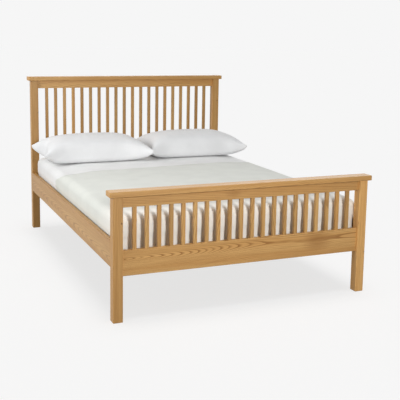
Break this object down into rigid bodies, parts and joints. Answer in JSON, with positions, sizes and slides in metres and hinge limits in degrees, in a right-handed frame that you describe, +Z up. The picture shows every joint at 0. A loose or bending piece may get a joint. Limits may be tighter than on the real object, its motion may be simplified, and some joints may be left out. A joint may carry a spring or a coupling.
{
  "type": "panel bed",
  "caption": "Double bed with slatted head and foot boards in oak, plain side rails, slat base, mattress and pillows.",
  "frame": {"origin": "on the floor, under the middle of the bed", "axes": "+X to the right seen from the foot, +Y towards the head board, +Z up"},
  "size_m": [1.466, 2.062, 1.075],
  "materials": {
    "oak": "clear satin lacquer over natural oak",
    "pine": "planed, unfinished",
    "zinc_steel": "bright zinc plate",
    "beech": "fluted, unfinished",
    "mattress_fabric": "plain woven cotton sheet",
    "pillow_cotton": "plain woven cotton"
  },
  "bodies": {
    "bed_frame": {"head_bottom_rail": "oak", "head_top_rail": "oak", "head_cap": "oak", "head_post_left": "oak", "head_post_right": "oak", "foot_bottom_rail": "oak", "foot_top_rail": "oak", "foot_cap": "oak", "foot_post_left": "oak", "foot_post_right": "oak", "foot_spindle_01": "oak", "foot_spindle_02": "oak", "foot_spindle_03": "oak", "foot_spindle_04": "oak", "foot_spindle_05": "oak", "foot_spindle_06": "oak", "foot_spindle_07": "oak", "foot_spindle_08": "oak", "foot_spindle_09": "oak", "foot_spindle_10": "oak", "foot_spindle_11": "oak", "foot_spindle_12": "oak", "foot_spindle_13": "oak", "foot_spindle_14": "oak", "foot_spindle_15": "oak", "foot_spindle_16": "oak", "foot_spindle_17": "oak", "foot_spindle_18": "oak", "foot_spindle_19": "oak", "foot_spindle_20": "oak", "head_spindles": "oak", "side_rail_left": "oak", "side_rail_right": "oak", "slat_01": "pine", "slat_02": "pine", "slat_03": "pine", "slat_04": "pine", "slat_05": "pine", "slat_06": "pine", "slat_07": "pine", "slat_08": "pine", "slat_09": "pine", "slat_10": "pine", "slat_11": "pine", "slat_12": "pine", "slat_13": "pine", "slat_14": "pine", "slat_batten_left": "pine", "slat_batten_right": "pine", "centre_rail": "pine", "centre_leg_head": "pine", "centre_leg_foot": "pine", "rail_bolts": "zinc_steel", "half_moon_washers": "zinc_steel", "bolt_nuts": "zinc_steel", "centre_rail_hangers": "zinc_steel", "dowels": "beech"},
    "mattress": {"mattress": "mattress_fabric"},
    "pillow_left": {"pillow_left": "pillow_cotton"},
    "pillow_right": {"pillow_right": "pillow_cotton"}
  },
  "joints": [
    {"name": "mattress_lift", "type": "slide", "parent": "bed_frame", "child": "mattress", "axis": [0, 0, 1], "range_m": [0, 0.6]},
    {"name": "pillow_left_lift", "type": "slide", "parent": "mattress", "child": "pillow_left", "axis": [0, 0, 1], "range_m": [0, 0.4]},
    {"name": "pillow_right_lift", "type": "slide", "parent": "mattress", "child": "pillow_right", "axis": [0, 0, 1], "range_m": [0, 0.4]}
  ]
}
